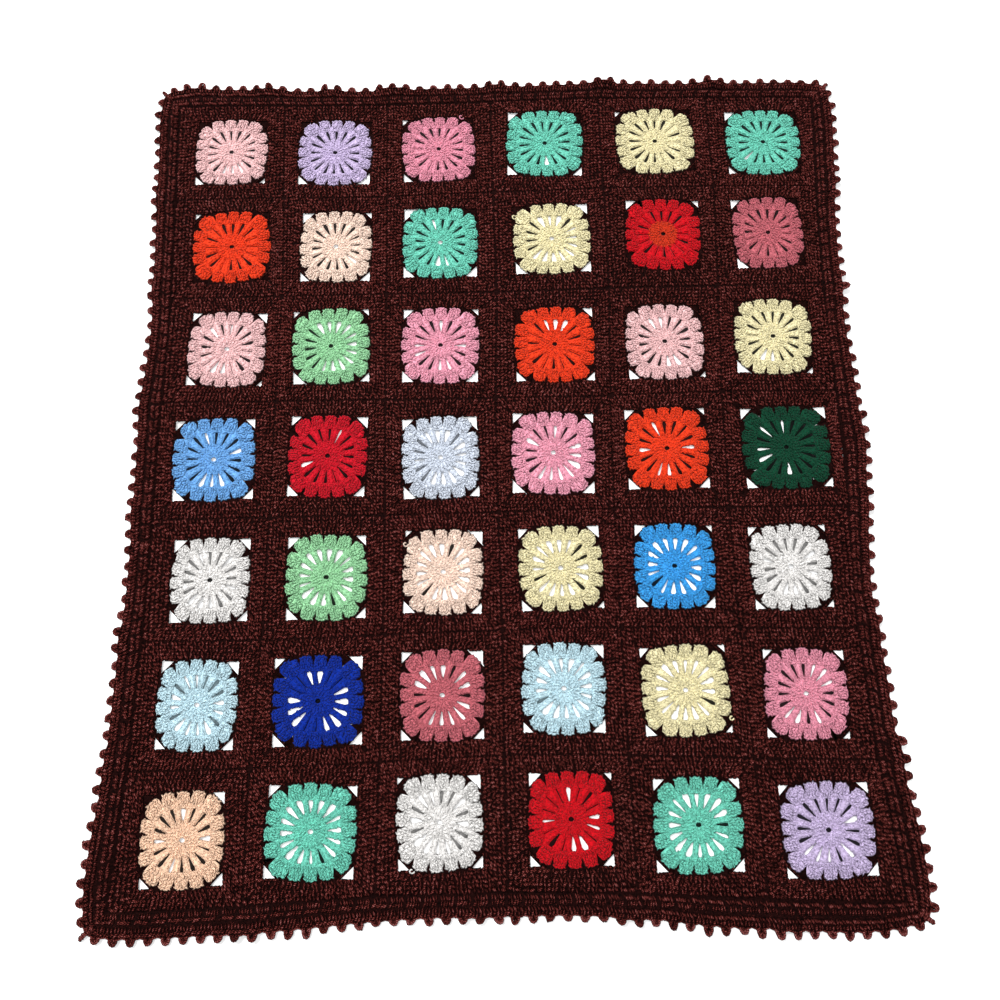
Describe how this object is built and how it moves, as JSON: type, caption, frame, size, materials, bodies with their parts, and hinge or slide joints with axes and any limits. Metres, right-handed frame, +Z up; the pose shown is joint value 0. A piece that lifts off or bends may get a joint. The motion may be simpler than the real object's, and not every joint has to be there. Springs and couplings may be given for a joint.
{
  "type": "granny square blanket",
  "caption": "Crocheted blanket laid out flat: coloured round-in-square centres joined by dark brown rounds, inside a rippled brown border with a picot edge.",
  "frame": {"origin": "middle of the footprint, on the underside that lies on the surface", "axes": "+Z up, out of the cloth's face; +Y along its length towards the far edge in the picture; +X to the right"},
  "size_m": [0.894, 1.0306, 0.018],
  "materials": {
    "yarn_azure": "bright blue acrylic yarn, crocheted, matt with a soft sheen",
    "yarn_brown": "dark reddish brown acrylic yarn, crocheted, matt with a soft sheen",
    "yarn_cornflower": "cornflower blue acrylic yarn, crocheted, matt with a soft sheen",
    "yarn_crimson": "crimson acrylic yarn, crocheted, matt with a soft sheen",
    "yarn_dark_green": "dark green acrylic yarn, crocheted, matt with a soft sheen",
    "yarn_dusty_rose": "dusty rose acrylic yarn, crocheted, matt with a soft sheen",
    "yarn_ice_blue": "very pale blue acrylic yarn, crocheted, matt with a soft sheen",
    "yarn_lavender": "lavender acrylic yarn, crocheted, matt with a soft sheen",
    "yarn_light_pink": "light pink acrylic yarn, crocheted, matt with a soft sheen",
    "yarn_off_white": "off-white acrylic yarn, crocheted, matt with a soft sheen",
    "yarn_orange_red": "orange-red acrylic yarn, crocheted, matt with a soft sheen",
    "yarn_orchid": "orchid pink acrylic yarn, crocheted, matt with a soft sheen",
    "yarn_pale_aqua": "pale aqua acrylic yarn, crocheted, matt with a soft sheen",
    "yarn_pale_peach": "pale peach acrylic yarn, crocheted, matt with a soft sheen",
    "yarn_pale_yellow": "pale yellow acrylic yarn, crocheted, matt with a soft sheen",
    "yarn_red": "red acrylic yarn, crocheted, matt with a soft sheen",
    "yarn_rose": "mid rose pink acrylic yarn, crocheted, matt with a soft sheen",
    "yarn_royal_blue": "royal blue acrylic yarn, crocheted, matt with a soft sheen",
    "yarn_salmon": "salmon peach acrylic yarn, crocheted, matt with a soft sheen",
    "yarn_seafoam": "seafoam green acrylic yarn, crocheted, matt with a soft sheen",
    "yarn_spring_green": "light spring green acrylic yarn, crocheted, matt with a soft sheen"
  },
  "bodies": {
    "root": {"motif_r1c1": "yarn_light_pink", "motif_r1c2": "yarn_lavender", "motif_r1c3": "yarn_rose", "motif_r1c4": "yarn_seafoam", "motif_r1c5": "yarn_pale_yellow", "motif_r1c6": "yarn_seafoam", "motif_r2c1": "yarn_orange_red", "motif_r2c2": "yarn_pale_peach", "motif_r2c3": "yarn_seafoam", "motif_r2c4": "yarn_pale_yellow", "motif_r2c5": "yarn_red", "motif_r2c6": "yarn_dusty_rose", "motif_r3c1": "yarn_light_pink", "motif_r3c2": "yarn_spring_green", "motif_r3c3": "yarn_orchid", "motif_r3c4": "yarn_orange_red", "motif_r3c5": "yarn_light_pink", "motif_r3c6": "yarn_pale_yellow", "motif_r4c1": "yarn_cornflower", "motif_r4c2": "yarn_crimson", "motif_r4c3": "yarn_ice_blue", "motif_r4c4": "yarn_orchid", "motif_r4c5": "yarn_orange_red", "motif_r4c6": "yarn_dark_green", "motif_r5c1": "yarn_off_white", "motif_r5c2": "yarn_spring_green", "motif_r5c3": "yarn_pale_peach", "motif_r5c4": "yarn_pale_yellow", "motif_r5c5": "yarn_azure", "motif_r5c6": "yarn_off_white", "motif_r6c1": "yarn_pale_aqua", "motif_r6c2": "yarn_royal_blue", "motif_r6c3": "yarn_dusty_rose", "motif_r6c4": "yarn_pale_aqua", "motif_r6c5": "yarn_pale_yellow", "motif_r6c6": "yarn_rose", "motif_r7c1": "yarn_salmon", "motif_r7c2": "yarn_seafoam", "motif_r7c3": "yarn_off_white", "motif_r7c4": "yarn_red", "motif_r7c5": "yarn_seafoam", "motif_r7c6": "yarn_lavender", "ground": "yarn_brown", "border": "yarn_brown"}
  },
  "joints": []
}
